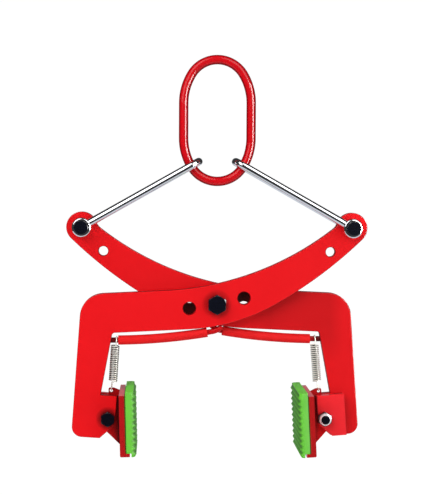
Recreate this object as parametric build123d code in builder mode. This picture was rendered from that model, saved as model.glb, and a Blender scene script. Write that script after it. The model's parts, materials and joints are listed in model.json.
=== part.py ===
from build123d import *
from math import asin, atan2, ceil, cos, degrees, pi, radians, sin, sqrt, tan
import os

os.makedirs("parts", exist_ok=True)

# Slab lifting clamp, in millimetres. X runs to the right, Y away from the viewer and Z up.
# The origin is where the crane hook bears, inside the top of the master link.
# The two arms are one plate part used twice: the back arm is the front arm turned half round about Z.
# An arm's outline is drawn about its pivot, with x towards its leg and y up.

# Master link
link_stock = 13.0
link_inside_width = 80.0
link_inside_length = 154.0
link_end_radius = 41.5
link_straight = 48.0

# Scissor linkage: pivot to bail bolt, and bail bolt to the centre of the link's lower arc
linkage_length = 213.8
linkage_angle = 29.5

# Arm plates
plate_thickness = 12.0
plate_gap = 2.0
plate_edge_radius = 1.0
boss_radius = 21.4
boss_blend_radius = 14.0
boss_neck_angle = 6.7
beam_top = 22.3
beam_depth = 55.0
beam_slope = 2.7
lever_curve_start = 70.0
knee_start = 38.0
knee_radius = 266.0
knee_slope = 29.6
shoulder_radius = 33.0
leg_reach = 186.9
leg_lean = 4.1
leg_root_width = 46.2
leg_foot_width = 36.2
crotch_radius = 4.0
heel_radius = 14.0
tag_hole_diameter = 13.0
tag_hole_from_bolt = (29.6, -32.7)
pivot_hole_pitch = 38.3
pivot_hole_slope = {"leg": 8.4, "lever": 13.0}
hole_chamfer = 0.8

# Pivot bolt, its lock nut, the washer under the nut and the disc between the plates
pivot_bolt_diameter = 16.0
pivot_bolt_flats = 24.0
pivot_bolt_head = 10.0
pivot_nut_height = 16.0
pivot_washer_diameter = 30.0
pivot_washer_thickness = 3.0
pivot_spacer_diameter = 40.0

# Bails: bent rods with a forged eye on each end
bail_rod = 10.8
bail_eye_diameter = 26.6
bail_eye_thickness = 12.0
bail_eye_edge_radius = 2.5
bail_link_play = 1.0
bail_bolt_diameter = 12.0
bail_bolt_flats = 18.0
bail_bolt_head = 7.5
bail_nut_height = 12.0

# Jaw fork at the foot of each leg, measured from the jaw bolt along the leg
jaw_bolt_inset = 37.4
jaw_bolt_drop = 158.0
jaw_bolt_diameter = 12.0
jaw_bolt_flats = 18.0
jaw_bolt_head = 7.5
jaw_nut_flats = 17.5
jaw_nut_height = 12.0
foot_inner = 10.0
foot_top = 32.0
foot_bottom = 27.8
foot_chamfer = 19.5
cheek_bottom = 25.2
cheek_thickness = 10.0
jaw_spacer_width = 12.5

# Grips that tilt on the jaw bolts, measured from the bolt: towards the slab and up
grip_tilt = {"left": -1.4, "right": 2.9}
grip_width = 100.0
grip_set_back = 16.6
grip_plate_thickness = 7.4
grip_plate_height = 83.5
grip_plate_top = 37.0
grip_lip_reach = 6.0
grip_lip_thickness = 4.8
grip_bend_radius = 2.0
pad_thickness = 15.0
pad_height = 88.5
pad_rise = 4.8
pad_top_margin = 3.0
pad_rib_pitch = 7.9
pad_rib_depth = 2.4
pad_seat_height = 1.4
pad_seat_inset = 2.0
pad_lip_gap = 2.2
lug_thickness = 8.0
lug_boss_radius = 16.0
lug_top = 30.0
lug_bottom = 40.0
lug_shoulder = 2.0
tab_thickness = 4.0
tab_hole_diameter = 4.4
tab_hole_height = 36.6
tab_hole_inset = 5.0
tab_margin = 3.8

# Stop bars under the arms and the sleeves on them
bar_diameter = 7.5
bar_start_slope = 0.5
bar_end_reach = 6.0
bar_end_radius = 22.0
bar_end_turn = 40.0
sleeve_diameter = 13.0
sleeve_length = 123.0
sleeve_drop = 4.2
sleeve_from_leg = {"left": 8.0, "right": 12.5}

# Extension springs from the stop bars to the tabs
spring_wire = 1.6
spring_radius = 5.4
spring_turns = {"left": 19.0, "right": 18.5}
spring_from_sleeve = {"left": 2.4, "right": 7.0}
spring_bend_radius = 2.0
spring_foot = 7.8
spring_head = 7.3
spring_hook_seat = 0.5
spring_tail = 2.4

# Fits and edges
running_clearance = 0.1
pivot_clearance = 0.7
bolt_clearance = 0.5
side_clearance = 0.2
fork_play = 0.5
bail_side_gap = 1.0
swing_clearance = 1.0
curve_clearance = 0.3
sleeve_clearance = 0.5
thread_clearance = 0.1
bolt_overhang = 2.0
edge_break = 0.8
bolt_tip_share = 1 / 12
nut_collar_share = 1 / 3
washer_edge_share = 1 / 6

SIDES = {"left": 1, "right": -1}


def save(name, part):
    """Label a finished piece and write its file."""
    part.label = name
    export_step(part, f"parts/{name}.step")


# Where the linkage stands
beam_tan = tan(radians(beam_slope))
lean_tan = tan(radians(leg_lean))
outer_face = plate_gap / 2 + plate_thickness
link_bottom_z = -link_inside_length - link_stock / 2
link_arc_z = link_bottom_z + link_end_radius
bail_bolt_x = linkage_length * cos(radians(linkage_angle))
bail_bolt_rise = linkage_length * sin(radians(linkage_angle))
bail_bolt_z = link_arc_z - bail_bolt_rise
pivot_z = bail_bolt_z - bail_bolt_rise


def arm_plane(side, depth):
    """Plane of an arm's outline at a depth behind the arm's outer face."""
    origin = (0, side * (depth - outer_face), pivot_z)
    return Plane(origin=origin, x_dir=(-side, 0, 0), z_dir=(0, side, 0))


def beam_top_at(u):
    """Height of the beam's upper edge."""
    return beam_top - u * beam_tan


def beam_low_at(u):
    """Height of the beam's straight lower edge."""
    return beam_top_at(u) - beam_depth / cos(radians(beam_slope))


def level(angle):
    """Unit vectors along an edge that rises towards the lever and square to it, upwards."""
    along = Vector(-cos(radians(angle)), sin(radians(angle)))
    up = Vector(sin(radians(angle)), cos(radians(angle)))
    return along, up


def foot_point(out, up):
    """Point of the jaw fork, from the jaw bolt outwards and up along the leaning leg."""
    lean = radians(leg_lean)
    return jaw_bolt + Vector(out * cos(lean) - up * sin(lean), out * sin(lean) + up * cos(lean))


# Corners of the arm's outline
bail_bolt = Vector(-bail_bolt_x, bail_bolt_rise)
jaw_bolt = Vector(leg_reach - jaw_bolt_inset, -jaw_bolt_drop)
beam_along, beam_up = level(beam_slope)
knee_along, knee_up = level(knee_slope)
neck = bail_bolt + Vector(cos(radians(boss_neck_angle)), sin(radians(boss_neck_angle))) * boss_radius
lever_top = Vector(lever_curve_start, beam_top_at(lever_curve_start))
knee = Vector(knee_start, beam_low_at(knee_start))
knee_centre = knee + beam_up * knee_radius
lever_low = knee_centre - knee_up * knee_radius
from_boss = lever_low - bail_bolt
lever_radius = (from_boss.dot(from_boss) - boss_radius**2) / (-2 * boss_radius - 2 * from_boss.dot(knee_up))
lever_centre = lever_low + knee_up * lever_radius
boss_low = bail_bolt + (bail_bolt - lever_centre).normalized() * boss_radius
boss_far = bail_bolt + (bail_bolt * 2 - neck - boss_low).normalized() * boss_radius
shoulder_u = (leg_reach - beam_top * lean_tan) / (1 - beam_tan * lean_tan)
shoulder = Vector(shoulder_u, beam_top_at(shoulder_u))
crotch_u = (leg_reach - leg_root_width - beam_low_at(0) * lean_tan) / (1 - beam_tan * lean_tan)
crotch = Vector(crotch_u, beam_low_at(crotch_u))
leg_out = (Vector(leg_reach, 0) - jaw_bolt).dot(Vector(cos(radians(leg_lean)), sin(radians(leg_lean))))
ankle = foot_point(leg_out - leg_foot_width, foot_top)
toe_top = foot_point(-foot_inner, foot_top)
toe_low = foot_point(-foot_inner, foot_chamfer - foot_bottom)
sole = foot_point(foot_chamfer - foot_inner, -foot_bottom)
heel = foot_point(leg_out, -foot_bottom)
lever_hole = level(pivot_hole_slope["lever"])[0] * pivot_hole_pitch
leg_hole = -level(pivot_hole_slope["leg"])[0] * pivot_hole_pitch
pivot_holes = [leg_hole, Vector(0, 0), lever_hole]
tag_hole = bail_bolt + Vector(*tag_hole_from_bolt)


def lower_edge_at(u):
    """Height of the arm's lower edge, on the straight beam or on the knee's curve."""
    if u > knee_start:
        return beam_low_at(u)
    return knee_centre.Y - sqrt(knee_radius**2 - (u - knee_centre.X) ** 2)


def make_arm(side):
    """Profile-cut arm plate with its pivot, bail, tag and jaw holes."""
    with BuildPart() as arm:
        with BuildSketch(arm_plane(side, 0)) as outline:
            with BuildLine():
                TangentArc(lever_top, neck, tangent=beam_along)
                ThreePointArc(neck, boss_far, boss_low)
                TangentArc(lever_low, boss_low, tangent=knee_along)
                TangentArc(knee, lever_low, tangent=beam_along)
                Polyline(knee, crotch, ankle, toe_top, toe_low, sole, heel, shoulder, lever_top)
            make_face()
            fillet(outline.vertices().sort_by_distance(neck)[0], boss_blend_radius)
            fillet(outline.vertices().sort_by_distance(shoulder)[0], shoulder_radius)
            fillet(outline.vertices().sort_by_distance(heel)[0], heel_radius)
            fillet(outline.vertices().sort_by_distance(crotch)[0], crotch_radius)
        extrude(amount=plate_thickness)
        faces = arm.faces().sort_by(Axis.Y)
        fillet(faces[0].edges() + faces[-1].edges(), plate_edge_radius)
        with BuildSketch(arm_plane(side, 0)):
            with Locations(*pivot_holes):
                Circle(pivot_bolt_diameter / 2 + pivot_clearance)
            with Locations(bail_bolt):
                Circle(bail_bolt_diameter / 2 + running_clearance)
            with Locations(tag_hole):
                Circle(tag_hole_diameter / 2)
            with Locations(jaw_bolt):
                Circle(jaw_bolt_diameter / 2 + bolt_clearance)
        extrude(amount=plate_thickness, mode=Mode.SUBTRACT)
        faces = arm.faces().filter_by(Axis.Y).sort_by(SortBy.AREA)[-2:]
        rims = [edge for face in faces for edge in face.edges() if edge.is_closed]
        chamfer(rims, hole_chamfer)
    return arm.part


def make_bolt(seat, diameter, flats, head, length):
    """Hex bolt with its head below the seat plane and its shank above it."""
    with BuildPart() as bolt:
        with BuildSketch(seat):
            RegularPolygon(flats / 2, 6, major_radius=False)
        extrude(amount=-head)
        crown = flats / 2 / cos(pi / 6)
        turned = (crown - flats / 2) * tan(pi / 6)
        with BuildSketch(Plane(origin=seat.origin, x_dir=seat.x_dir, z_dir=seat.y_dir)):
            with BuildLine():
                Polyline(
                    (0, 0),
                    (crown, 0),
                    (crown, head - turned),
                    (flats / 2, head),
                    (0, head),
                    close=True,
                )
            make_face()
        revolve(axis=Axis(seat.origin, seat.z_dir), mode=Mode.INTERSECT)
        with BuildSketch(seat):
            Circle(diameter / 2)
        extrude(amount=length)
        tip = bolt.faces().sort_by(Axis(seat.origin, seat.z_dir))[-1]
        chamfer(tip.edges(), diameter * bolt_tip_share)
    return bolt.part


def make_nut(seat, diameter, flats, height):
    """Lock nut on the seat plane: a hexagon with a rounded collar above it."""
    with BuildPart() as nut:
        with BuildSketch(seat):
            RegularPolygon(flats / 2, 6, major_radius=False)
        extrude(amount=height)
        crown = flats / 2 / cos(pi / 6)
        turned = (crown - flats / 2) * tan(pi / 6)
        collar = flats / 2 - edge_break
        collar_low = height - height * nut_collar_share
        collar_round = height * nut_collar_share / 2
        with BuildSketch(Plane(origin=seat.origin, x_dir=seat.x_dir, z_dir=-seat.y_dir)):
            with BuildLine():
                Polyline(
                    (0, 0),
                    (flats / 2, 0),
                    (crown, turned),
                    (crown, collar_low - turned),
                    (collar, collar_low),
                    (collar, height - collar_round),
                )
                RadiusArc((collar, height - collar_round), (collar - collar_round, height), -collar_round)
                Polyline((collar - collar_round, height), (0, height), (0, 0))
            make_face()
        revolve(axis=Axis(seat.origin, seat.z_dir), mode=Mode.INTERSECT)
        with BuildSketch(seat):
            Circle(diameter / 2 + thread_clearance)
        extrude(amount=height, mode=Mode.SUBTRACT)
    return nut.part


def make_washer(seat, inside, outside, thickness):
    """Flat ring on the seat plane, with its outer edges broken."""
    with BuildPart() as washer:
        with BuildSketch(seat):
            Circle(outside / 2)
            Circle(inside / 2, mode=Mode.SUBTRACT)
        extrude(amount=thickness)
        rims = washer.edges().filter_by(GeomType.CIRCLE).group_by(SortBy.RADIUS)[-1]
        chamfer(rims, thickness * washer_edge_share)
    return washer.part


# Master link: round stock bent to two end arcs, two straight sides and wider arcs that join them
link_half_width = (link_inside_width + link_stock) / 2
link_half_span = (link_inside_length + link_stock) / 2 - link_end_radius
link_middle_z = link_arc_z + link_half_span
link_spread = link_half_width - link_end_radius
link_shoulder_rise = link_half_span - link_straight / 2
link_shoulder_radius = (link_shoulder_rise**2 / link_spread + link_half_width + link_end_radius) / 2
link_shoulder_x = link_half_width - link_shoulder_radius
link_join_angle = degrees(atan2(link_shoulder_rise, -link_shoulder_x))
with BuildPart() as master_link:
    with BuildLine(Plane.XZ.shift_origin((0, 0, link_middle_z))) as link_line:
        for end in (1, -1):
            arc_turn = end * (180 - 2 * link_join_angle)
            CenterArc((0, end * link_half_span), link_end_radius, end * link_join_angle, arc_turn)
            for hand in (1, -1):
                centre = (hand * link_shoulder_x, end * link_straight / 2)
                start = 0 if hand > 0 else 180
                CenterArc(centre, link_shoulder_radius, start, end * hand * link_join_angle)
        for hand in (1, -1):
            low_corner = (hand * link_half_width, -link_straight / 2)
            Line(low_corner, (hand * link_half_width, link_straight / 2))
    with BuildSketch(Plane(origin=link_line.wires()[0] @ 0, z_dir=link_line.wires()[0] % 0)):
        Circle(link_stock / 2)
    sweep(path=link_line.wires()[0])
save("master_link", master_link.part)


# Bails: each passes through the link and straddles the upper end of one arm
bail_half_spread = plate_thickness / 2 + bail_side_gap + bail_eye_thickness / 2
bail_bend_radius = link_stock / 2 + bail_link_play + bail_rod / 2
bail_tip = linkage_length - (link_end_radius - link_stock / 2) + curve_clearance + bail_rod / 2
bail_bend = Vector(bail_tip - bail_bend_radius, 0)


def bend_tangent(start, turn):
    """Point where a straight leg from start runs onto the bail's bend."""
    to_bend = bail_bend - start
    reach = sqrt(to_bend.length**2 - bail_bend_radius**2)
    swing = turn * degrees(asin(bail_bend_radius / to_bend.length))
    return start + to_bend.normalized().rotate(Axis.Z, swing) * reach


def make_bail(side):
    """Bail on the arm of the given side, drawn from its bolt towards the link."""
    eye_x = side * bail_bolt_x
    middle_y = -side * (plate_gap + plate_thickness) / 2
    towards_link = Vector(-side * cos(radians(linkage_angle)), 0, sin(radians(linkage_angle)))
    normal = towards_link.cross(Vector(0, 1, 0))
    bail_plane = Plane(origin=(eye_x, 0, bail_bolt_z), x_dir=towards_link, z_dir=normal)
    near = Vector(0, middle_y - bail_half_spread)
    far = Vector(0, middle_y + bail_half_spread)
    near_join = bend_tangent(near, -1)
    far_join = bend_tangent(far, 1)
    with BuildPart() as bail:
        for eye in (near, far):
            with BuildSketch(Plane(origin=(eye_x, eye.Y, bail_bolt_z), x_dir=(1, 0, 0), z_dir=(0, 1, 0))):
                Circle(bail_eye_diameter / 2)
            extrude(amount=bail_eye_thickness / 2, both=True)
        fillet(bail.edges().filter_by(GeomType.CIRCLE), bail_eye_edge_radius)
        with BuildLine() as rod_line:
            Line(near, near_join)
            ThreePointArc(near_join, bail_bend + Vector(bail_bend_radius, 0), far_join)
            Line(far_join, far)
        rod_path = bail_plane.from_local_coords(rod_line.wires()[0])
        with BuildSketch(Plane(origin=rod_path @ 0, z_dir=rod_path % 0)):
            Circle(bail_rod / 2)
        sweep(path=rod_path)
        with BuildSketch(Plane(origin=(eye_x, middle_y, bail_bolt_z), x_dir=(1, 0, 0), z_dir=(0, 1, 0))):
            Circle(bail_bolt_diameter / 2 + bolt_clearance)
        extrude(amount=bail_half_spread + bail_eye_thickness, both=True, mode=Mode.SUBTRACT)
    return bail.part


bail_grip = 2 * bail_half_spread + bail_eye_thickness
for name, side in (("right", 1), ("left", -1)):
    save(f"{name}_bail", make_bail(side))
    head_y = -side * (plate_gap + plate_thickness) / 2 - bail_grip / 2
    head_seat = Plane(origin=(side * bail_bolt_x, head_y, bail_bolt_z), x_dir=(1, 0, 0), z_dir=(0, 1, 0))
    nut_seat = head_seat.offset(bail_grip)
    shank = bail_grip + bail_nut_height + bolt_overhang
    bolt = make_bolt(head_seat, bail_bolt_diameter, bail_bolt_flats, bail_bolt_head, shank)
    save(f"{name}_bail_bolt", bolt)
    nut = make_nut(nut_seat, bail_bolt_diameter, bail_bolt_flats, bail_nut_height)
    save(f"{name}_bail_nut", nut)


# Arms and the pivot between them
front_arm = make_arm(1)
back_arm = make_arm(-1)
save("front_arm", front_arm)
save("back_arm", back_arm)
pivot_seat = Plane(origin=(0, -outer_face, pivot_z), x_dir=(0, 0, 1), z_dir=(0, 1, 0))
pivot_washer_seat = pivot_seat.offset(2 * outer_face + side_clearance)
pivot_nut_seat = pivot_washer_seat.offset(pivot_washer_thickness)
pivot_shank = 2 * outer_face + side_clearance + pivot_washer_thickness + pivot_nut_height + bolt_overhang
pivot_bore = pivot_bolt_diameter + 2 * running_clearance
bolt = make_bolt(pivot_seat, pivot_bolt_diameter, pivot_bolt_flats, pivot_bolt_head, pivot_shank)
save("pivot_bolt", bolt)
nut = make_nut(pivot_nut_seat, pivot_bolt_diameter, pivot_bolt_flats, pivot_nut_height)
save("pivot_nut", nut)
washer = make_washer(pivot_washer_seat, pivot_bore, pivot_washer_diameter, pivot_washer_thickness)
save("pivot_washer", washer)
spacer_seat = pivot_seat.offset(plate_thickness)
spacer = make_washer(spacer_seat, pivot_bore, pivot_spacer_diameter, plate_gap - side_clearance)
save("pivot_spacer", spacer)


# Jaw forks: a cheek behind each leg plate, held off by a spacer, and the bolt that the grip tilts on
fork_gap = lug_thickness + 2 * fork_play
cheek_depth = plate_thickness + fork_gap
cheek_outer = lug_boss_radius + swing_clearance + jaw_spacer_width
cheek_top = foot_point(cheek_outer, foot_top)
cheek_toe = foot_point(-foot_inner, foot_chamfer - cheek_bottom)
cheek_sole = foot_point(foot_chamfer - foot_inner, -cheek_bottom)
cheek_heel = foot_point(cheek_outer, -cheek_bottom)
for name, side in SIDES.items():
    with BuildPart() as cheek:
        with BuildSketch(arm_plane(side, cheek_depth)):
            with BuildLine():
                Polyline(cheek_top, toe_top, cheek_toe, cheek_sole, cheek_heel, close=True)
            make_face()
        extrude(amount=cheek_thickness)
        faces = cheek.faces().filter_by(Axis.Y)
        chamfer([edge for face in faces for edge in face.edges()], edge_break)
        with BuildSketch(arm_plane(side, cheek_depth)):
            with Locations(jaw_bolt):
                Circle(jaw_bolt_diameter / 2 + bolt_clearance)
        extrude(amount=cheek_thickness, mode=Mode.SUBTRACT)
    save(f"{name}_jaw_cheek", cheek.part)
    with BuildPart() as spacer:
        with BuildSketch(arm_plane(side, plate_thickness)):
            with BuildLine():
                Polyline(
                    foot_point(cheek_outer - edge_break, foot_top - edge_break),
                    foot_point(cheek_outer - jaw_spacer_width, foot_top - edge_break),
                    foot_point(cheek_outer - jaw_spacer_width, edge_break - cheek_bottom),
                    foot_point(cheek_outer - edge_break, edge_break - cheek_bottom),
                    close=True,
                )
            make_face()
        extrude(amount=fork_gap)
    save(f"{name}_jaw_spacer", spacer.part)
    head_plane = arm_plane(side, 0)
    head_origin = head_plane.from_local_coords(jaw_bolt)
    head_seat = Plane(origin=head_origin, x_dir=(0, 0, 1), z_dir=head_plane.z_dir)
    fork_grip = cheek_depth + cheek_thickness
    nut_seat = head_seat.offset(fork_grip)
    shank = fork_grip + jaw_nut_height + bolt_overhang
    bolt = make_bolt(head_seat, jaw_bolt_diameter, jaw_bolt_flats, jaw_bolt_head, shank)
    save(f"{name}_jaw_bolt", bolt)
    nut = make_nut(nut_seat, jaw_bolt_diameter, jaw_nut_flats, jaw_nut_height)
    save(f"{name}_jaw_nut", nut)


# Grips: a backing plate with a lip, a lug on the jaw bolt, a tab for the spring and a ribbed pad
lug_depth = plate_thickness + fork_play + lug_thickness / 2
plate_face = grip_set_back + grip_plate_thickness
plate_low = grip_plate_top - grip_plate_height
lip_end = plate_face + grip_lip_reach
pad_face = plate_face + pad_thickness
pad_top = grip_plate_top + pad_rise
pad_low = pad_top - pad_height
pad_back = plate_face + pad_seat_height
pad_valley = pad_face - pad_rib_depth
pad_rest = plate_low + grip_lip_thickness + side_clearance
tab_end = tab_hole_inset - tab_margin
tab_top = tab_hole_height + tab_margin


def grip_plane(name, depth):
    """Plane of a tilted grip about its jaw bolt, at a depth behind the arm's outer face."""
    side = SIDES[name]
    tilt = radians(grip_tilt[name])
    origin = arm_plane(side, depth).from_local_coords(jaw_bolt)
    return Plane(origin=origin, x_dir=(side * cos(tilt), 0, -sin(tilt)), z_dir=(0, -side, 0))


for name in SIDES:
    with BuildPart() as grip_plate:
        with BuildSketch(grip_plane(name, outer_face)) as profile:
            with BuildLine():
                Polyline(
                    (grip_set_back, grip_plate_top),
                    (grip_set_back, plate_low),
                    (lip_end, plate_low),
                    (lip_end, plate_low + grip_lip_thickness),
                    (plate_face, plate_low + grip_lip_thickness),
                    (plate_face, grip_plate_top),
                    close=True,
                )
            make_face()
            fillet(profile.vertices().sort_by_distance((grip_set_back, plate_low))[0], grip_bend_radius)
        extrude(amount=grip_width / 2, both=True)
        rims = grip_plate.faces().sort_by(Axis.Y)
        chamfer(rims[0].edges() + rims[-1].edges(), edge_break)
    save(f"{name}_grip_plate", grip_plate.part)

    with BuildPart() as lug:
        with BuildSketch(grip_plane(name, lug_depth)):
            with BuildLine():
                CenterArc((0, 0), lug_boss_radius, 0, 360)
                Polyline(
                    (-lug_shoulder, lug_top),
                    (grip_set_back, lug_top),
                    (grip_set_back, -lug_bottom),
                    (-lug_shoulder, lug_top),
                )
            make_hull()
            Circle(jaw_bolt_diameter / 2 + running_clearance, mode=Mode.SUBTRACT)
        extrude(amount=lug_thickness / 2, both=True)
    save(f"{name}_grip_lug", lug.part)

    with BuildPart() as tab:
        with BuildSketch(grip_plane(name, lug_depth)) as tab_outline:
            with BuildLine():
                Polyline(
                    (tab_end, lug_top),
                    (grip_set_back, lug_top),
                    (grip_set_back, grip_plate_top),
                    (tab_hole_inset + tab_margin, tab_top),
                    (tab_end, tab_top),
                    close=True,
                )
            make_face()
            fillet(tab_outline.vertices().sort_by_distance((tab_end, tab_top))[0], tab_margin / 2)
            with Locations((tab_hole_inset, tab_hole_height)):
                Circle(tab_hole_diameter / 2, mode=Mode.SUBTRACT)
        extrude(amount=tab_thickness / 2, both=True)
    save(f"{name}_spring_tab", tab.part)

    rib_count = ceil((pad_height - pad_top_margin) / pad_rib_pitch)
    rib_step = (pad_height - pad_top_margin) / rib_count
    ribs = [(pad_valley, pad_low)]
    for index in range(rib_count):
        ribs.append((pad_face, pad_low + (index + 0.5) * rib_step))
        ribs.append((pad_valley, pad_low + (index + 1) * rib_step))
    with BuildPart() as pad:
        with BuildSketch(grip_plane(name, outer_face)):
            with BuildLine():
                Polyline(
                    *ribs,
                    (pad_valley, pad_top),
                    (pad_back, pad_top),
                    (pad_back, pad_rest),
                    (lip_end + pad_lip_gap, pad_rest),
                    (lip_end + pad_lip_gap, pad_low),
                    close=True,
                )
            make_face()
        extrude(amount=grip_width / 2, both=True)
        with BuildSketch(grip_plane(name, outer_face)):
            with BuildLine():
                Polyline(
                    (plate_face, pad_rest),
                    (pad_back, pad_rest),
                    (pad_back, grip_plate_top - pad_seat_inset),
                    (plate_face, grip_plate_top - pad_seat_inset),
                    close=True,
                )
            make_face()
        extrude(amount=grip_width / 2 - pad_seat_inset, both=True)
    save(f"{name}_grip_pad", pad.part)


# Stop bars: a bent rod from the leg's inner edge to the arm's lower edge below the pivot
bar_depth = plate_thickness / 2
bar_start = Vector(crotch.X - sleeve_from_leg["left"], 0)
bar_start.Y = beam_low_at(bar_start.X) - sleeve_drop - sleeve_diameter / 2
bar_end = Vector(bar_end_reach, lower_edge_at(bar_end_reach) - sleeve_clearance - sleeve_diameter / 2)
bar_along, bar_up = level(bar_start_slope)
bar_chord = bar_end - bar_start
bar_radius = bar_chord.dot(bar_chord) / (2 * bar_chord.dot(bar_up))
bar_centre = bar_start + bar_up * bar_radius
bar_inside_leg = bar_start - bar_along * leg_root_width / 2
leg_inner = (ankle - crotch).normalized()


def bar_slope_at(u):
    """Slope of the stop bar, in degrees."""
    return degrees(asin((bar_centre.X - u) / bar_radius))


def bar_point(u):
    """Point on the stop bar's centre line."""
    return Vector(u, bar_centre.Y - bar_radius * cos(radians(bar_slope_at(u))))


def leg_edge_at(height):
    """Distance of the leg's inner edge from the pivot, at a height."""
    return crotch.X + (height - crotch.Y) * leg_inner.X / leg_inner.Y


for name, side in SIDES.items():
    arm = front_arm if name == "left" else back_arm
    plane = arm_plane(side, bar_depth)
    with BuildPart() as bar:
        with BuildLine() as bar_line:
            Line(bar_inside_leg, bar_start)
            TangentArc(bar_start, bar_end, tangent=bar_along)
            JernArc(bar_end, level(bar_slope_at(bar_end_reach))[0], bar_end_radius, -bar_end_turn)
        bar_path = plane.from_local_coords(bar_line.wires()[0])
        with BuildSketch(Plane(origin=bar_path @ 0, z_dir=bar_path % 0)):
            Circle(bar_diameter / 2)
        sweep(path=bar_path)
        add(arm, mode=Mode.SUBTRACT)
    save(f"{name}_stop_bar", bar.part)

    first = crotch.X - sleeve_from_leg[name]
    turned = radians(bar_slope_at(first)) + sleeve_length / bar_radius
    last = bar_centre.X - bar_radius * sin(turned)
    with BuildPart() as sleeve:
        with BuildLine() as sleeve_line:
            TangentArc(bar_point(first), bar_point(last), tangent=level(bar_slope_at(first))[0])
        sleeve_path = plane.from_local_coords(sleeve_line.wires()[0])
        with BuildSketch(Plane(origin=sleeve_path @ 0, z_dir=sleeve_path % 0)):
            Circle(sleeve_diameter / 2)
            Circle(bar_diameter / 2 + side_clearance, mode=Mode.SUBTRACT)
        sweep(path=sleeve_path)
    save(f"{name}_stop_sleeve", sleeve.part)


# Springs: a hook through the tab, the turns, and a hook over the stop bar, all one wire
hook_drop = spring_radius - spring_wire / 2 - curve_clearance - bar_diameter / 2


def biarc(start, start_along, end, end_along):
    """Middle point and direction of the two tangent arcs that join two directed points."""
    span = end - start
    both = start_along + end_along
    spread = 2 * (1 - start_along.dot(end_along))
    reach = (sqrt(span.dot(both) ** 2 + spread * span.dot(span)) - span.dot(both)) / spread
    first = start + start_along * reach
    second = end - end_along * reach
    return (first + second) * 0.5, (second - first).normalized()


def least_gap(line, count):
    """Least clear space between stretches of the wire that lie well apart along it."""
    points = [line.position_at(index / count) for index in range(count + 1)]
    apart = ceil(3 * spring_wire * count / line.length)
    gaps = [(points[i] - points[j]).length for i in range(count) for j in range(i + apart, count + 1)]
    return min(gaps) - spring_wire


for name, side in SIDES.items():
    turns = spring_turns[name]
    hook_u = crotch.X - sleeve_from_leg[name] + spring_from_sleeve[name]
    bar_top = arm_plane(side, bar_depth).from_local_coords(bar_point(hook_u))
    hole = grip_plane(name, lug_depth).from_local_coords((tab_hole_inset, tab_hole_height))
    pull = (bar_top - hole).normalized()
    top = bar_top - pull * hook_drop
    bottom = hole + pull * (spring_hook_seat + spring_radius)
    across = (Vector(0, -side, 0) + pull * (side * pull.Y)).normalized()
    last_side = 1 if turns == round(turns) else -1
    span = (top - bottom).length
    body = span - spring_foot - spring_head
    climb = atan2(body / turns, 2 * pi * spring_radius)
    side_step = spring_bend_radius * (1 - sin(climb))
    lean = asin((1 + last_side) * side_step / span)
    up = pull * cos(lean) - pull.cross(across) * sin(lean)
    around = up.cross(across)
    body = span * cos(lean) - spring_foot - spring_head
    coil_low = bottom + around * side_step + up * spring_foot
    bend_rise = spring_bend_radius * cos(climb)
    leg = across * spring_radius
    last_leg = leg * last_side
    foot_end = bottom + leg + up * (spring_foot - bend_rise)
    head_start = top + last_leg - up * (spring_head - bend_rise)
    with BuildPart() as spring:
        with BuildLine() as wire:
            Line(bottom - leg + up * spring_wire, bottom - leg)
            TangentArc(bottom - leg, bottom + leg, tangent=-up)
            Line(bottom + leg, foot_end)
            start = coil_low + leg
            along = around * cos(climb) + up * sin(climb)
            TangentArc(foot_end, start, tangent=up)
            for half in range(1, round(2 * turns) + 1):
                sign = -1 if half % 2 else 1
                end = coil_low + leg * sign + up * (body * half / (2 * turns))
                end_along = around * (sign * cos(climb)) + up * sin(climb)
                middle, middle_along = biarc(start, along, end, end_along)
                TangentArc(start, middle, tangent=along)
                TangentArc(middle, end, tangent=middle_along)
                start, along = end, end_along
            TangentArc(start, head_start, tangent=along)
            Line(head_start, top + last_leg)
            TangentArc(top + last_leg, top - last_leg, tangent=up)
            Line(top - last_leg, top - last_leg - up * spring_tail)
        path = wire.wires()[0]
        with BuildSketch(Plane(origin=path @ 0, z_dir=path % 0)):
            Circle(spring_wire / 2)
        sweep(path=path)
    gap = least_gap(path, 1500)
    print(f"{name}_spring: least gap {gap:.2f} mm, volume {spring.part.volume:.1f}, "
          f"section times length {pi * spring_wire**2 / 4 * path.length:.1f} mm3")
    save(f"{name}_spring", spring.part)
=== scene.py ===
import json
from math import asin, cos, pi, radians, sin

import bpy
from mathutils import Matrix, Quaternion, Vector


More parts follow.
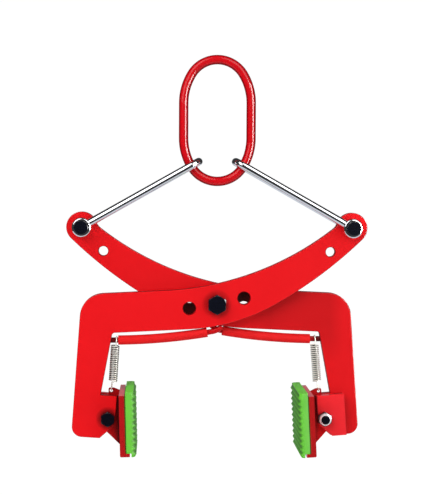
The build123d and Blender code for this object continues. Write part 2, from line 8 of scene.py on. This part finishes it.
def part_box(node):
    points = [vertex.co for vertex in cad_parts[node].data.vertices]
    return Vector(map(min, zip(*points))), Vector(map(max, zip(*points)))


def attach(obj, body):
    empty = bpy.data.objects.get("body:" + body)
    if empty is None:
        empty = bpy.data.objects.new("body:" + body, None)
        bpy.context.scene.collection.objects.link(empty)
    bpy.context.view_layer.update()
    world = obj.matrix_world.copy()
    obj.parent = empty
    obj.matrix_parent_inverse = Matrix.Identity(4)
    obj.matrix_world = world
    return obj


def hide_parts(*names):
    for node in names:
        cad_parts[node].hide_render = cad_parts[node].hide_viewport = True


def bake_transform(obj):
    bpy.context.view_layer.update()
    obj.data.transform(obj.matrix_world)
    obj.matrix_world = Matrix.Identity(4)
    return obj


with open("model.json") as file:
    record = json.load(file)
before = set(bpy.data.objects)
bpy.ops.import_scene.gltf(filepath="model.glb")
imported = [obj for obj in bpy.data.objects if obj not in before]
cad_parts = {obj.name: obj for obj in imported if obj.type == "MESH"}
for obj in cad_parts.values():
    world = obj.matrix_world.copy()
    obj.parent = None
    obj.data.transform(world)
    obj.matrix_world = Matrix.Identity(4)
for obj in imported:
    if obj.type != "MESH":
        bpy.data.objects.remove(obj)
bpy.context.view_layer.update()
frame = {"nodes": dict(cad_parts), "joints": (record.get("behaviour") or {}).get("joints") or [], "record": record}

# Slab lifting clamp, in metres. X runs to the right, Y away from the viewer and Z up.
# The origin is where the crane hook bears, inside the top of the master link.
mm = 0.001

# Joints: the height of the arms' pivot, and the reach and height of the jaw bolts
joints = {joint["name"]: joint for joint in frame["joints"]}
pivot_height = joints["arm_pivot"]["pos_m"][2]
jaw_reach, jaw_height = joints["right_grip_tilt"]["pos_m"][::2]

# Sides of the clamp: which way along X is inwards
INWARDS = {"left": 1, "right": -1}

# Camera: where the photograph was taken from, which way it looks and its lens
camera_place = Vector((-83, -1736, -167.5)) * mm
camera_target = Vector((0.98, 0, -251.8)) * mm
camera_roll = radians(0.29)
image_height_px = 495
focal_length_px = 1258
sensor_size = 36

# Studio cove, its white to the camera and in reflections, and the fill light of the room
floor_height = -0.95
floor_width = 3.4
floor_front = -0.9
wall_distance = 4.0
wall_height = 2.6
cove_radius = 1.2
cove_segments = 16
white_share = 0.94
white_strength = 1.06
mirrored_floor = 0.75
mirrored_wall = 0.3
mirrored_fade = 0.4
mirrored_room = 0.04
fill_light = 0.35

# Springs: the centres of the hooks, over the stop bar and in the tab, and the form of the wire.
# The foot and the head are the distances from the lower and the upper hook's centre to the turns.
spring_hooks = {
    "left": (Vector((-137.99, -6.92, -379.97)) * mm, Vector((-144.79, 2.65, -445.04)) * mm),
    "right": (Vector((138.07, 6.92, -379.97)) * mm, Vector((142.28, -2.65, -445.43)) * mm),
}
spring_turns = {"left": 19.0, "right": 18.5}
spring_radius = 5.4 * mm
spring_wire = 1.6 * mm
spring_bend = 1.2 * mm
spring_foot = 7.8 * mm
spring_head = 7.3 * mm
spring_tip = 1.6 * mm
spring_tail = 2.4 * mm
spring_lit_radius = spring_radius + 0.38 * spring_wire
spring_smooth_angle = radians(50)
wire_sides = 12
turn_steps = 24
bend_steps = 6
hook_steps = 20

# Pads, measured from the jaw bolt: towards the slab and up
grip_tilt = {"left": radians(-1.4), "right": radians(2.9)}
plate_face = 24.0 * mm
pad_seat_height = 1.4 * mm
pad_seat_inset = 2.0 * mm
pad_seat_top = 35.0 * mm
pad_thickness = 15.0 * mm
pad_width = 100.0 * mm
pad_top = 41.8 * mm
pad_height = 88.5 * mm
pad_top_margin = 3.0 * mm
pad_ribs = 11
rib_depth = 2.4 * mm
lip_gap_end = 32.2 * mm
pad_rest = -41.5 * mm
pad_edge_radius = 0.35 * mm
pad_edge_segments = 3
pad_sharp_angle = radians(25)
pad_side_bevel = 3.0 * mm
pad_smooth_angle = radians(40)
pad_low = pad_top - pad_height
pad_back = plate_face + pad_seat_height
pad_valley = plate_face + pad_thickness - rib_depth
rib_pitch = (pad_height - pad_top_margin) / pad_ribs

# Lean of the legs
leg_lean = radians(4.1)


class Value:
    """A socket of a node tree that adds Math nodes when it is used in an expression."""

    def __init__(self, graph, socket):
        self.graph = graph
        self.socket = socket

    def math(self, operation, *terms):
        return self.graph.node("Math", dict(enumerate(terms)), operation=operation)

    def __add__(self, other):
        return self.math("ADD", self, other)

    def __sub__(self, other):
        return self.math("SUBTRACT", self, other)

    def __rsub__(self, other):
        return self.math("SUBTRACT", other, self)

    def __mul__(self, other):
        return self.math("MULTIPLY", self, other)

    def __abs__(self):
        return self.math("ABSOLUTE", self)

    __radd__ = __add__
    __rmul__ = __mul__


class Graph:
    """The node tree of a finish or of the room's light."""

    def __init__(self, tree):
        self.tree = tree

    def node(self, kind, sockets, out=0, **settings):
        """Add a node: its settings first, then a value or a link for each socket named."""
        node = self.tree.nodes.new("ShaderNode" + kind)
        for name, value in settings.items():
            setattr(node, name, value)
        self.fill(node, sockets)
        return Value(self, node.outputs[out])

    def fill(self, node, sockets):
        """Give each named socket of a node its value or its link."""
        for name, value in sockets.items():
            if isinstance(value, Value):
                self.tree.links.new(value.socket, node.inputs[name])
            else:
                node.inputs[name].default_value = value

    def ray(self, kind):
        """1 on light rays of a kind, and 0 on the others."""
        return self.node("LightPath", {}, out=f"Is {kind} Ray")


class Finish(Graph):
    """A procedural material on the piece's own coordinates."""

    def __init__(self, name):
        self.material = bpy.data.materials.new(name)
        self.material.use_nodes = True
        super().__init__(self.material.node_tree)
        self.shader = self.tree.nodes["Principled BSDF"]
        self.place = self.node("TexCoord", {}, out="Object")

    def axis(self, name):
        """The piece's own X, Y or Z."""
        return self.node("SeparateXYZ", {0: self.place}, out=name)

    def noise(self, size, detail=2.0, roughness=0.5):
        """Cloudy values around a half, with patches about as wide as size."""
        sockets = {"Vector": self.place, "Scale": 1 / size, "Detail": detail, "Roughness": roughness}
        return self.node("TexNoise", sockets, out="Fac")

    def painted(self, name):
        """A value that the piece's mesh holds at each of its points."""
        return self.node("Attribute", {}, out="Fac", attribute_name=name)

    def between(self, value, low, high):
        """Spread a value from low to high over 0 to 1, held at both ends."""
        sockets = {"Value": value, "From Min": low, "From Max": high}
        return self.node("MapRange", sockets, clamp=True)

    def near(self, *offsets, inner, outer):
        """1 within the inner distance of a place and 0 past the outer, with the offsets measured from it."""
        squared = sum(offset * offset for offset in offsets)
        return self.between(squared, outer * outer, inner * inner)

    def cut_edge(self, flat=0.9, turned=0.5):
        """0 on what faces along Y, and 1 where the surface has turned away to an edge."""
        facing = self.node("SeparateXYZ", {0: self.node("TexCoord", {}, out="Normal")}, out="Y")
        return self.between(facing * facing, flat, turned)

    def mix(self, factor, first, second):
        """Blend two colours."""
        return self.node("Mix", {0: factor, 6: first, 7: second}, out=2, data_type="RGBA")

    def stain(self, ground, mask, dirt, share=1.0):
        """Put a share of a second colour over the ground where the mask is 1."""
        return self.mix(mask * share, ground, dirt)

    def bump(self, height, depth):
        """Surface normal of a relief of the given depth."""
        return self.node("Bump", {"Height": height, "Distance": depth, "Strength": 1.0}, out="Normal")

    def surface(self, **sockets):
        """Set the shader's sockets, named in lower case with underscores."""
        names = {socket.name.lower().replace(" ", "_"): socket.name for socket in self.shader.inputs}
        self.fill(self.shader, {names[name]: value for name, value in sockets.items()})
        return self.material


def colour(red, green, blue):
    return (red, green, blue, 1.0)


def grey(level):
    return colour(level, level, level)


# Painted shade on the stop bars, the jaw cheeks and the lugs
black_shade = colour(0.02, 0.002, 0.002)


def red_enamel(name, shade=1.0, coat_ior=1.5, peel_depth=0.02 * mm):
    """Glossy red paint with a faint orange peel."""
    finish = Finish(name)
    patches = finish.noise(size=60 * mm, detail=3.0)
    peel = finish.noise(size=2.2 * mm)
    low = colour(0.74 * shade, 0.0052 * shade, 0.0085 * shade)
    high = colour(0.84 * shade, 0.0072 * shade, 0.0115 * shade)
    finish.red = finish.mix(patches, low, high)
    finish.surface(
        base_color=finish.red,
        roughness=0.42 + 0.10 * patches,
        specular_ior_level=0.03,
        coat_weight=1.0,
        coat_ior=coat_ior,
        coat_roughness=0.05,
        normal=finish.bump(peel, peel_depth),
    )
    return finish


def arm_enamel(name, shade, leg_side):
    """Paint of an arm: painted shade on its edges, round the bolts and behind the spare holes, and a painted
    shadow on the beam's inner face.
    """
    shade_red = colour(0.10, 0.003, 0.003)
    hole_shade_red = colour(0.075, 0.005, 0.005)
    jaw_shade_red = colour(0.06, 0.003, 0.003)
    hole_row_slope = 0.2
    finish = red_enamel(name, shade)
    x = finish.axis("X")
    z = finish.axis("Z")
    rise = z - pivot_height
    reach = x * leg_side
    inner_face = finish.near(finish.axis("Y"), inner=1.3 * mm, outer=2.0 * mm)
    past_pivot = finish.between(reach, 45 * mm, 75 * mm)
    short_of_corner = finish.between(reach, 178 * mm, 158 * mm)
    above_leg = finish.between(rise, -85 * mm, -45 * mm)
    hole_row = finish.near(rise - hole_row_slope * x, inner=12 * mm, outer=16 * mm)
    row_ends = finish.near(x, rise, inner=48 * mm, outer=52 * mm)
    jaw_ring = finish.near(abs(x) - jaw_reach, z - jaw_height, inner=9 * mm, outer=17 * mm)
    pivot_ring = finish.near(x, rise, inner=12 * mm, outer=21 * mm)
    edge = finish.cut_edge()
    # Painted shadow on the beam's inner face; painted shade behind the spare holes, round the jaw bolt and the
    # pivot, and on the edges
    beam_shadow = inner_face * past_pivot * short_of_corner * above_leg
    red = finish.stain(finish.red, beam_shadow, shade_red, share=0.22)
    red = finish.stain(red, inner_face * hole_row * row_ends, hole_shade_red)
    red = finish.stain(red, jaw_ring, jaw_shade_red, share=0.8)
    red = finish.stain(red, pivot_ring, shade_red, share=0.5)
    red = finish.stain(red, edge, shade_red, share=0.7)
    return finish.surface(base_color=red, coat_weight=1.0 - 0.85 * edge)


def link_enamel():
    """Deep red of the master link, with painted shade on its inner and outer sides."""
    crimson = colour(0.57, 0.0006, 0.0062)
    crimson_share = 0.75
    side_shade_red = colour(0.12, 0.001, 0.003)
    finish = red_enamel("link_enamel", shade=0.80, peel_depth=0.0)
    sides = finish.cut_edge(flat=0.65, turned=0.35)
    red = finish.mix(crimson_share, finish.red, crimson)
    red = finish.stain(red, sides, side_shade_red, share=0.7)
    return finish.surface(base_color=red, coat_weight=0.6 - 0.5 * sides, coat_roughness=0.07)


def bar_enamel():
    """Paint of the stop bars, darker as painted shade, with more painted shade beside the legs."""
    finish = red_enamel("bar_enamel", shade=0.7, coat_ior=1.2)
    beside_leg = 1 - finish.near(finish.axis("X"), inner=130 * mm, outer=139 * mm)
    return finish.surface(base_color=finish.stain(finish.red, beside_leg, black_shade, share=0.85))


def cheek_enamel():
    """Paint of the jaw cheeks, made paler by a painted sheen, with painted shade along the edge next to the grip.
    """
    sheen_red = colour(0.92, 0.036, 0.048)
    sheen_share = 0.5
    finish = red_enamel("cheek_enamel")
    inwards = jaw_reach - abs(finish.axis("X"))
    across_leg = cos(leg_lean) * inwards - sin(leg_lean) * (finish.axis("Z") - jaw_height)
    grip_edge = finish.between(across_leg, 7.4 * mm, 9.4 * mm)
    red = finish.mix(sheen_share, finish.red, sheen_red)
    return finish.surface(base_color=finish.stain(red, grip_edge, black_shade, share=0.95))


def lug_enamel():
    """Paint of the lugs, a little darker, with painted shade where they meet the grip plate."""
    finish = red_enamel("lug_enamel", shade=0.9)
    inwards = jaw_reach - abs(finish.axis("X"))
    by_plate = finish.between(inwards, 4 * mm, 15 * mm)
    return finish.surface(base_color=finish.stain(finish.red, by_plate, black_shade, share=0.95))


def plate_enamel():
    """Paint of the grip plates, darker on the faces of their front and back edges."""
    edge_red = colour(0.36, 0.006, 0.007)
    finish = red_enamel("plate_enamel")
    edge_faces = 1 - finish.near(finish.axis("Y"), inner=48.6 * mm, outer=49.4 * mm)
    return finish.surface(base_color=finish.stain(finish.red, edge_faces, edge_red, share=0.85))


def bright_plate():
    """Bright plated steel of the bails."""
    finish = Finish("bright_plate")
    streaks = finish.noise(size=9 * mm, detail=4.0, roughness=0.6)
    steel = finish.mix(streaks, colour(0.80, 0.81, 0.85), colour(0.90, 0.91, 0.93))
    return finish.surface(base_color=steel, metallic=1.0, roughness=0.05 + 0.05 * streaks)


def black_oxide():
    """Black bolt steel with a dry, faintly blue sheen."""
    finish = Finish("black_oxide")
    grain = finish.noise(size=1.5 * mm, detail=4.0, roughness=0.6)
    black = finish.mix(grain, colour(0.002, 0.0024, 0.006), colour(0.004, 0.005, 0.012))
    return finish.surface(
        base_color=black,
        roughness=0.12 + 0.10 * grain,
        specular_ior_level=0.4,
        normal=finish.bump(grain, depth=0.02 * mm),
    )


def zinc_plate(name):
    """Zinc plating of the lock nuts, and of the washer and the spacer on the pivot."""
    finish = Finish(name)
    bloom = finish.noise(size=3 * mm, detail=4.0, roughness=0.6)
    finish.zinc = finish.mix(bloom, colour(0.12, 0.125, 0.135), colour(0.22, 0.225, 0.24))
    finish.surface(base_color=finish.zinc, metallic=0.9, roughness=0.24 + 0.18 * bloom)
    return finish


def lock_nut(node, outwards):
    """Dark nut whose collar holds a white locking ring, with the ring's depth as a share of its height."""
    dark_zinc = colour(0.02, 0.02, 0.022)
    dark_share = 0.75
    ring_white = colour(0.90, 0.91, 0.92)
    ring_depth = 0.30
    ring_end = 0.36
    finish = zinc_plate(node + "_zinc")
    low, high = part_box(node)
    height = high[1] - low[1]
    top = high[1] if outwards > 0 else low[1]
    depth = (top - finish.axis("Y")) * outwards
    ring = finish.between(depth, ring_end * height, ring_depth * height)
    zinc = finish.mix(dark_share, finish.zinc, dark_zinc)
    return finish.surface(base_color=finish.stain(zinc, ring, ring_white), metallic=0.9 - 0.9 * ring)


def spring_steel():
    """Drawn wire of the springs, a little warm in tone, with painted shade on all of the wire but its outermost
    band.
    """
    finish = Finish("spring_steel")
    drawn = finish.noise(size=1.2 * mm, detail=3.0)
    shaded = finish.painted("shaded")
    steel = finish.mix(drawn, colour(0.72, 0.68, 0.61), colour(0.88, 0.85, 0.78))
    return finish.surface(
        base_color=finish.stain(steel, shaded, grey(0.003)),
        metallic=0.25 - 0.25 * shaded,
        roughness=0.30 + 0.10 * drawn + 0.3 * shaded,
        specular_ior_level=0.2,
    )


def red_hose():
    """Soft satin hose of the sleeves, paler than the paint."""
    finish = Finish("red_hose")
    patches = finish.noise(size=14 * mm, detail=3.0)
    grain = finish.noise(size=0.9 * mm)
    red = finish.mix(patches, colour(0.70, 0.011, 0.012), colour(0.82, 0.017, 0.019))
    return finish.surface(
        base_color=red,
        roughness=0.38 + 0.12 * patches,
        specular_ior_level=0.04,
        normal=finish.bump(grain, depth=0.02 * mm),
    )


def green_rubber():
    """Moulded green pad, with a fine matt grain and painted shade on the ribbed face, deepest in the grooves
    between the ribs.
    """
    shaded_green = colour(0.03, 0.10, 0.015)
    finish = Finish("green_rubber")
    patches = finish.noise(size=22 * mm, detail=3.0)
    grain = finish.noise(size=0.8 * mm, detail=3.0)
    green = finish.mix(patches, colour(0.106, 0.495, 0.026), colour(0.148, 0.60, 0.039))
    between_sides = finish.near(finish.axis("Y"), inner=49.5 * mm, outer=49.9 * mm)
    return finish.surface(
        base_color=finish.stain(green, finish.painted("groove") * between_sides, shaded_green, share=0.9),
        roughness=0.46 + 0.16 * patches,
        specular_ior_level=0.3,
        normal=finish.bump(grain, depth=0.03 * mm),
    )


def deselect():
    """Go back to object mode and select nothing."""
    if bpy.context.object and bpy.context.object.mode != "OBJECT":
        bpy.ops.object.mode_set(mode="OBJECT")
    bpy.ops.object.select_all(action="DESELECT")


def take(piece):
    """Select one piece alone and make it the active one."""
    deselect()
    bpy.context.view_layer.objects.active = piece
    piece.select_set(True)


def edit(piece):
    """Open a piece in edit mode with nothing selected."""
    take(piece)
    bpy.ops.object.mode_set(mode="EDIT")
    bpy.ops.mesh.select_mode(type="VERT")
    bpy.ops.mesh.select_all(action="DESELECT")


def pick(piece, test):
    """Select the vertices of an open piece whose place passes a test."""
    bpy.ops.mesh.select_all(action="DESELECT")
    bpy.ops.object.mode_set(mode="OBJECT")
    for vertex in piece.data.vertices:
        vertex.select = test(vertex.co)
    bpy.ops.object.mode_set(mode="EDIT")


def draw_up(distance):
    """Extrude what is selected along Z."""
    bpy.ops.mesh.extrude_region_move(TRANSFORM_OT_translate={"value": (0, 0, distance)})


def paint_points(piece, name, level_at):
    """Store a value at each point of a piece, worked out from the point's place."""
    layer = piece.data.color_attributes.new(name, "FLOAT_COLOR", "POINT")
    for vertex, point in zip(piece.data.vertices, layer.data):
        point.color = grey(float(level_at(vertex.co)))


def settle(piece, matrix, smooth_angle):
    """Move a piece's mesh to its place, turn its faces outwards and shade it smooth."""
    doubles = 0.001 * mm
    edit(piece)
    bpy.ops.mesh.select_all(action="SELECT")
    bpy.ops.mesh.remove_doubles(threshold=doubles)
    bpy.ops.object.mode_set(mode="OBJECT")
    piece.matrix_world = matrix @ piece.matrix_world
    bpy.ops.object.transform_apply(location=True, rotation=True, scale=True)
    edit(piece)
    bpy.ops.mesh.select_all(action="SELECT")
    bpy.ops.mesh.normals_make_consistent(inside=False)
    bpy.ops.object.mode_set(mode="OBJECT")
    bpy.ops.object.shade_smooth_by_angle(angle=smooth_angle)


def dress(piece, name, slot):
    """Name a piece and give it the finish of a material slot."""
    piece.name = name
    piece.data.name = name
    piece.data.materials.clear()
    piece.data.materials.append(finishes[slot])


def wind_turns(turns, body):
    """Wire wound about Z in open turns, from X onwards and up to the height of the body."""
    deselect()
    bpy.ops.mesh.primitive_circle_add(
        vertices=wire_sides, radius=spring_wire / 2, location=(spring_radius, 0, 0), rotation=(pi / 2, 0, 0)
    )
    wire = bpy.context.object
    bpy.ops.object.transform_apply(location=True, rotation=True, scale=True)
    screw = wire.modifiers.new("turns", "SCREW")
    screw.angle = 2 * pi * turns
    screw.screw_offset = body
    screw.steps = round(turn_steps * turns)
    screw.render_steps = screw.steps
    screw.use_merge_vertices = False
    bpy.ops.object.modifier_apply(modifier=screw.name)
    return wire


def bend_hook(spring, height, side, way, reach, end):
    """Bend the wire at an end of the turns into a straight leg and a half turn with a short end.

    The wire leaves the turns at a height, on the side of X that is 1 or -1, and goes up or down by way.
    """
    around = 0.6 * spring_wire
    flat = 0.01 * mm
    start = Vector((side * spring_radius, 0, height))
    bend_centre = (0, 0, height + way * spring_bend)
    hook_centre = (0, way * side * spring_bend, height + way * reach)
    pick(spring, lambda place: (place - start).length < around and abs(place.y) < flat)
    bpy.ops.mesh.spin(steps=bend_steps, angle=-side * pi / 2, center=bend_centre, axis=(1, 0, 0))
    draw_up(way * (reach - spring_bend))
    bpy.ops.mesh.spin(steps=hook_steps, angle=way * side * pi, center=hook_centre, axis=(0, 1, 0))
    draw_up(-way * end)
    bpy.ops.mesh.edge_face_add()


def wind_spring(name):
    """Extension spring: open turns with a hook over the stop bar and a hook in the tab."""
    top, bottom = spring_hooks[name]
    turns = spring_turns[name]
    last_side = 1 if turns == round(turns) else -1
    pull = (top - bottom).normalized()
    span = (top - bottom).length
    lean = asin((1 + last_side) * spring_bend / span)
    body = span * cos(lean) - spring_foot - spring_head
    spring = wind_turns(turns, body)
    edit(spring)
    bend_hook(spring, 0, side=1, way=-1, reach=spring_foot, end=spring_tip)
    bend_hook(spring, body, side=last_side, way=1, reach=spring_head, end=spring_tail)
    bpy.ops.object.mode_set(mode="OBJECT")
    # Painted shade: the turns are marked shaded, apart from the outermost band of the wire.
    paint_points(spring, "shaded", lambda place: 0 < place.z < body and place.xy.length < spring_lit_radius)
    # The hooks lie across the clamp, and the right spring's are turned half round, as its arm is.
    across = Vector((0, -INWARDS[name], 0))
    across = (across - pull * across.dot(pull)).normalized()
    up = pull * cos(lean) - pull.cross(across) * sin(lean)
    turned = Matrix((across, up.cross(across), up)).transposed().to_4x4()
    place = Matrix.Translation(bottom) @ turned @ Matrix.Translation((0, spring_bend, spring_foot))
    settle(spring, place, spring_smooth_angle)
    dress(spring, f"{name}_spring_wound", "spring_wire")
    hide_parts(f"{name}_spring")
    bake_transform(spring)


def add_box(low, high):
    """Box between two corners, with its place in its mesh."""
    deselect()
    low = Vector(low)
    high = Vector(high)
    bpy.ops.mesh.primitive_cube_add(size=1, location=(low + high) / 2, scale=high - low)
    bpy.ops.object.transform_apply(location=True, rotation=True, scale=True)
    return bpy.context.object


def cut_away(piece, tool):
    """Take the tool's shape out of a piece and remove the tool."""
    take(piece)
    cut = piece.modifiers.new("cut", "BOOLEAN")
    cut.object = tool
    cut.solver = "EXACT"
    bpy.ops.object.modifier_apply(modifier=cut.name)
    bpy.data.objects.remove(tool)


def round_edges(piece):
    """Round the sharp edges of a pad."""
    take(piece)
    ease = piece.modifiers.new("round", "BEVEL")
    ease.width = pad_edge_radius
    ease.segments = pad_edge_segments
    ease.limit_method = "ANGLE"
    ease.angle_limit = pad_sharp_angle
    bpy.ops.object.modifier_apply(modifier=ease.name)


def raise_ribs(pad):
    """Divide a pad at every crest and valley, draw the crests out and bevel the ends of the ribs."""
    close = rib_pitch / 8
    crests = [pad_low + (index + 0.5) * rib_pitch for index in range(pad_ribs)]
    edit(pad)
    for half in range(1, 2 * pad_ribs + 1):
        bpy.ops.mesh.select_all(action="SELECT")
        bpy.ops.mesh.bisect(plane_co=(0, 0, pad_low + half * rib_pitch / 2), plane_no=(0, 0, 1))
    in_front = pad_valley - close
    pick(pad, lambda place: place.x > in_front and min(abs(place.z - crest) for crest in crests) < close)
    bpy.ops.transform.translate(value=(rib_depth, 0, 0))
    for hand in (1, -1):
        pick(pad, lambda place: place.x > in_front and hand * place.y > pad_width / 2 - close)
        bpy.ops.mesh.bevel(offset=pad_side_bevel, segments=1, affect="EDGES", clamp_overlap=False)


def groove_shade(place):
    """Painted shade at a point of a pad: full in the valleys of the ribs and little on their crests."""
    crest_loss = 0.65
    behind_valley = 0.1 * mm
    end_margin = 1.0 * mm
    if place.x <= pad_valley - behind_valley:
        return 0
    if not pad_low + end_margin < place.z < pad_top - pad_top_margin / 2:
        return 0
    return 1 - crest_loss * max(place.x - pad_valley, 0) / rib_depth


def mould_pad(name):
    """Ribbed pad on its narrower seat, drawn about the jaw bolt and then tilted into place."""
    pad = add_box((pad_back, -pad_width / 2, pad_low), (pad_valley, pad_width / 2, pad_top))
    raise_ribs(pad)
    lip_space = add_box((0, -pad_width, 2 * pad_low), (lip_gap_end, pad_width, pad_rest))
    cut_away(pad, lip_space)
    round_edges(pad)
    paint_points(pad, "groove", groove_shade)
    seat_side = pad_width / 2 - pad_seat_inset
    add_box((plate_face, -seat_side, pad_rest), (pad_back + pad_seat_height, seat_side, pad_seat_top))
    pad.select_set(True)
    bpy.context.view_layer.objects.active = pad
    bpy.ops.object.join()
    pin = Vector(joints[f"{name}_grip_tilt"]["pos_m"])
    half_round = Matrix.Rotation(0 if INWARDS[name] > 0 else pi, 4, "Z")
    place = Matrix.Translation(pin) @ half_round @ Matrix.Rotation(grip_tilt[name], 4, "Y")
    settle(pad, place, pad_smooth_angle)
    dress(pad, f"{name}_moulded_pad", "green_pad")
    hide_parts(f"{name}_grip_pad")
    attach(pad, f"{name}_grip")


def studio_white():
    """White to the camera, a cool light grey in reflections and plain matt white for the light."""
    cool_white = colour(0.88, 0.93, 1.0)
    finish = Finish("studio_white")
    finish.surface(base_color=grey(0.86), roughness=0.9, specular_ior_level=0.0)
    seen = finish.ray("Camera") + finish.ray("Transmission")
    mirrored = finish.ray("Glossy")
    tint = finish.mix(mirrored, grey(1.0), cool_white)
    wall = finish.between(finish.axis("Z"), floor_height, floor_height + mirrored_fade)
    mirrored_white = mirrored_floor + (mirrored_wall - mirrored_floor) * wall
    strength = white_strength * seen + mirrored_white * mirrored
    glow = finish.node("Emission", {"Color": tint, "Strength": strength})
    matt = Value(finish, finish.shader.outputs[0])
    shared = finish.node("MixShader", {0: white_share * seen + mirrored, 1: matt, 2: glow})
    finish.fill(finish.tree.nodes["Material Output"], {"Surface": shared})
    return finish.material


def build_stage():
    """White cove: a floor that curves up into a wall behind the clamp."""
    deselect()
    depth = wall_distance - floor_front
    bpy.ops.mesh.primitive_plane_add(size=1, location=(0, floor_front + depth / 2, floor_height))
    cove = bpy.context.object
    cove.scale = (floor_width, depth, 1)
    bpy.ops.object.transform_apply(location=True, rotation=True, scale=True)
    edit(cove)
    pick(cove, lambda place: place.y > 0)
    draw_up(wall_height)
    pick(cove, lambda place: place.y > 0 and place.z < floor_height + mm)
    bpy.ops.mesh.bevel(offset=cove_radius, segments=cove_segments, affect="EDGES")
    bpy.ops.object.mode_set(mode="OBJECT")
    bpy.ops.object.shade_smooth()
    cove.name = "studio_cove"
    cove.data.materials.append(studio_white())


def light_room():
    """Even fill light, white to the camera and dim in reflections."""
    world = bpy.data.worlds.new("studio_room")
    bpy.context.scene.world = world
    world.use_nodes = True
    graph = Graph(world.node_tree)
    seen = graph.ray("Camera") + graph.ray("Transmission")
    mirrored = graph.ray("Glossy")
    strength = fill_light + (1 - fill_light) * seen + (mirrored_room - fill_light) * mirrored
    graph.fill(world.node_tree.nodes["Background"], {"Color": grey(1.0), "Strength": strength})


def hang_softbox(name, place, width, height, power, mirrored=True, lights=True):
    """Rectangular softbox that faces the clamp, and that may show only in reflections or only light it."""
    lamp = bpy.data.lights.new(name, "AREA")
    lamp.shape = "RECTANGLE"
    lamp.size = width
    lamp.size_y = height
    lamp.energy = power
    holder = bpy.data.objects.new(name, lamp)
    bpy.context.scene.collection.objects.link(holder)
    holder.location = place
    holder.rotation_euler = (camera_target - Vector(place)).to_track_quat("-Z", "Y").to_euler()
    holder.visible_camera = False
    holder.visible_glossy = mirrored
    holder.visible_diffuse = lights


def aim_camera():
    """Camera at the photograph's viewpoint."""
    lens = bpy.data.cameras.new("viewpoint")
    lens.sensor_width = sensor_size
    lens.lens = focal_length_px / image_height_px * sensor_size
    camera = bpy.data.objects.new("viewpoint", lens)
    bpy.context.scene.collection.objects.link(camera)
    camera.location = camera_place
    aim = (camera_target - camera_place).to_track_quat("-Z", "Y")
    camera.rotation_euler = (aim @ Quaternion((0, 0, 1), camera_roll)).to_euler()
    bpy.context.scene.camera = camera


# The finish of each material slot, and of the pieces that have one of their own
finishes = {
    "red_paint": red_enamel("red_enamel").material,
    "bright_rod": bright_plate(),
    "black_bolt": black_oxide(),
    "zinc_nut": zinc_plate("zinc_plate").material,
    "spring_wire": spring_steel(),
    "red_sleeve": red_hose(),
    "green_pad": green_rubber(),
}
special = {
    "master_link": link_enamel(),
    "front_arm": arm_enamel("front_arm_enamel", shade=1.0, leg_side=-1),
    # The back arm's paint is a little darker: painted shade, as it lies behind the front arm.
    "back_arm": arm_enamel("back_arm_enamel", shade=0.94, leg_side=1),
}
paired = {
    "grip_plate": plate_enamel(),
    "jaw_cheek": cheek_enamel(),
    "grip_lug": lug_enamel(),
    "stop_bar": bar_enamel(),
    # Painted shade: the spring tabs get darker paint and the jaw spacers nearly black.
    "spring_tab": red_enamel("tab_enamel", shade=0.5).material,
    "jaw_spacer": red_enamel("spacer_enamel", shade=0.06).material,
}
for side in INWARDS:
    for piece_name, finish in paired.items():
        special[f"{side}_{piece_name}"] = finish

# The right jaw's nut faces the viewer, and the others face away.
for nut in ("left_bail_nut", "right_bail_nut", "pivot_nut", "left_jaw_nut", "right_jaw_nut"):
    special[nut] = lock_nut(nut, outwards=-1 if nut == "right_jaw_nut" else 1)

slots = {subpart["node"]: subpart["material_slot"] for subpart in frame["record"]["subparts"]}
for node, piece in frame["nodes"].items():
    piece.data.materials.clear()
    piece.data.materials.append(special.get(node, finishes[slots[node]]))

for jaw in INWARDS:
    wind_spring(jaw)
    mould_pad(jaw)

build_stage()
light_room()
hang_softbox("left_front_box", place=(-0.9, -1.6, 0.95), width=1.2, height=2.0, power=20, lights=False)
hang_softbox("right_front_box", place=(0.9, -1.6, 0.95), width=1.2, height=2.0, power=20, lights=False)
hang_softbox("right_strip", place=(1.45, -1.3, -0.1), width=0.9, height=1.4, power=90, lights=False)
hang_softbox("right_lamp", place=(1.52, -1.36, -0.1), width=1.2, height=1.4, power=13.5, mirrored=False)
hang_softbox("high_left_lamp", place=(-1.1, -1.35, 0.85), width=1.8, height=1.8, power=39, mirrored=False)
hang_softbox("back_lamp", place=(0.6, 2.0, 0.7), width=1.8, height=1.8, power=26, mirrored=False)
aim_camera()
bpy.context.scene.view_settings.view_transform = "Standard"
